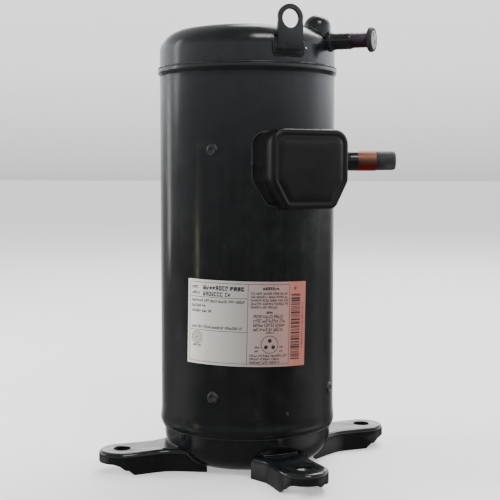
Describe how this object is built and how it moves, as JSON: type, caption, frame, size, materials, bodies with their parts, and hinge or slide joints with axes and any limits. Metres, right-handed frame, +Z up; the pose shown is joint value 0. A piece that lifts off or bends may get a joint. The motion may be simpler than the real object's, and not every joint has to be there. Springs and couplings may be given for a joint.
{
  "type": "hermetic scroll compressor",
  "caption": "Vertical hermetic scroll compressor with domed steel shell, mounting feet, terminal box, suction and discharge stubs, and its motor and scrolls inside.",
  "frame": {"origin": "on the shaft's axis, at the plane of the feet's lower edges, 2 mm under the lower cap's flat base", "axes": "+Z up along the shaft's axis; +X towards the discharge stub; the feet lie on the diagonals"},
  "size_m": [0.2612, 0.2364, 0.4527],
  "materials": {
    "black_paint": "gloss",
    "black_paint_weld": "gloss, over a weld bead",
    "label_foil": "satin",
    "copper": "satin copper tube and wire",
    "black_rubber": "matte",
    "cover_plastic": "fine moulded texture",
    "steel": "machined",
    "iron": "machined casting",
    "alloy": "machined casting",
    "bronze": "bearing bronze and brass"
  },
  "bodies": {
    "housing": {"shell": "black_paint", "upper_cap": "black_paint", "lower_cap": "black_paint", "top_seam_weld": "black_paint_weld", "bottom_seam_weld": "black_paint_weld", "foot_front": "black_paint", "foot_left": "black_paint", "foot_right": "black_paint", "foot_back": "black_paint", "lifting_lug": "black_paint", "discharge_dome": "black_paint", "discharge_tube": "copper", "suction_collar": "black_paint", "suction_tube": "copper", "terminal_base": "black_paint", "terminal_gasket": "black_rubber", "connector_block": "cover_plastic", "terminal_body": "steel", "terminal_pin_a": "copper", "terminal_pin_b": "copper", "terminal_pin_c": "copper", "lead_loom": "black_rubber", "motor_protector": "cover_plastic", "data_label": "label_foil", "partition_plate": "steel", "check_valve_stop": "steel", "fixed_scroll": "iron", "scroll_bolt_1": "steel", "scroll_bolt_2": "steel", "scroll_bolt_3": "steel", "scroll_bolt_4": "steel", "main_frame": "iron", "main_bearing": "bronze", "stator_core": "steel", "stator_winding": "copper", "lower_frame": "iron", "lower_bearing": "bronze", "pump_housing": "alloy", "pickup_tube": "steel", "sump_magnet": "iron", "suction_baffle": "steel"},
    "crank": {"crankshaft": "steel", "drive_bush": "bronze", "rotor_core": "steel", "rotor_ring_upper": "alloy", "rotor_ring_lower": "alloy", "upper_counterweight": "bronze", "lower_counterweight": "bronze", "pump_inner_rotor": "steel"},
    "scroll": {"orbiting_scroll": "alloy"},
    "oldham": {"oldham_ring": "alloy"},
    "pump_ring": {"pump_outer_rotor": "steel"},
    "valve": {"check_valve_disc": "steel"},
    "cover": {"terminal_cover": "cover_plastic"},
    "plug": {"discharge_plug": "black_rubber"},
    "bung": {"suction_bung": "black_rubber"}
  },
  "joints": [
    {"name": "crank_spin", "type": "hinge", "parent": "housing", "child": "crank", "pos_m": [0, 0, 0.2], "axis": [0, 0, 1], "continuous": true},
    {"name": "scroll_orbit", "type": "hinge", "parent": "crank", "child": "scroll", "pos_m": [0.0037, 0, 0.33], "axis": [0, 0, 1], "continuous": true},
    {"name": "pump_ring_spin", "type": "hinge", "parent": "housing", "child": "pump_ring", "pos_m": [0.0018, 0, 0.055], "axis": [0, 0, 1], "continuous": true},
    {"name": "oldham_slide", "type": "slide", "parent": "housing", "child": "oldham", "axis": [1, 0, 0], "range_m": [-0.0074, 0]},
    {"name": "check_valve_lift", "type": "slide", "parent": "housing", "child": "valve", "axis": [0, 0, 1], "range_m": [0, 0.0042]},
    {"name": "cover_off", "type": "slide", "parent": "housing", "child": "cover", "axis": [0.7869, -0.617, 0], "range_m": [0, 0.045]},
    {"name": "plug_off", "type": "slide", "parent": "housing", "child": "plug", "axis": [1, 0, 0], "range_m": [0, 0.025]},
    {"name": "bung_off", "type": "slide", "parent": "housing", "child": "bung", "axis": [0.9239, 0.3827, 0], "range_m": [0, 0.025]}
  ],
  "couplings": [
    {"joint": "scroll_orbit", "follows": "crank_spin", "ratio": -1},
    {"joint": "pump_ring_spin", "follows": "crank_spin", "ratio": 0.8}
  ]
}
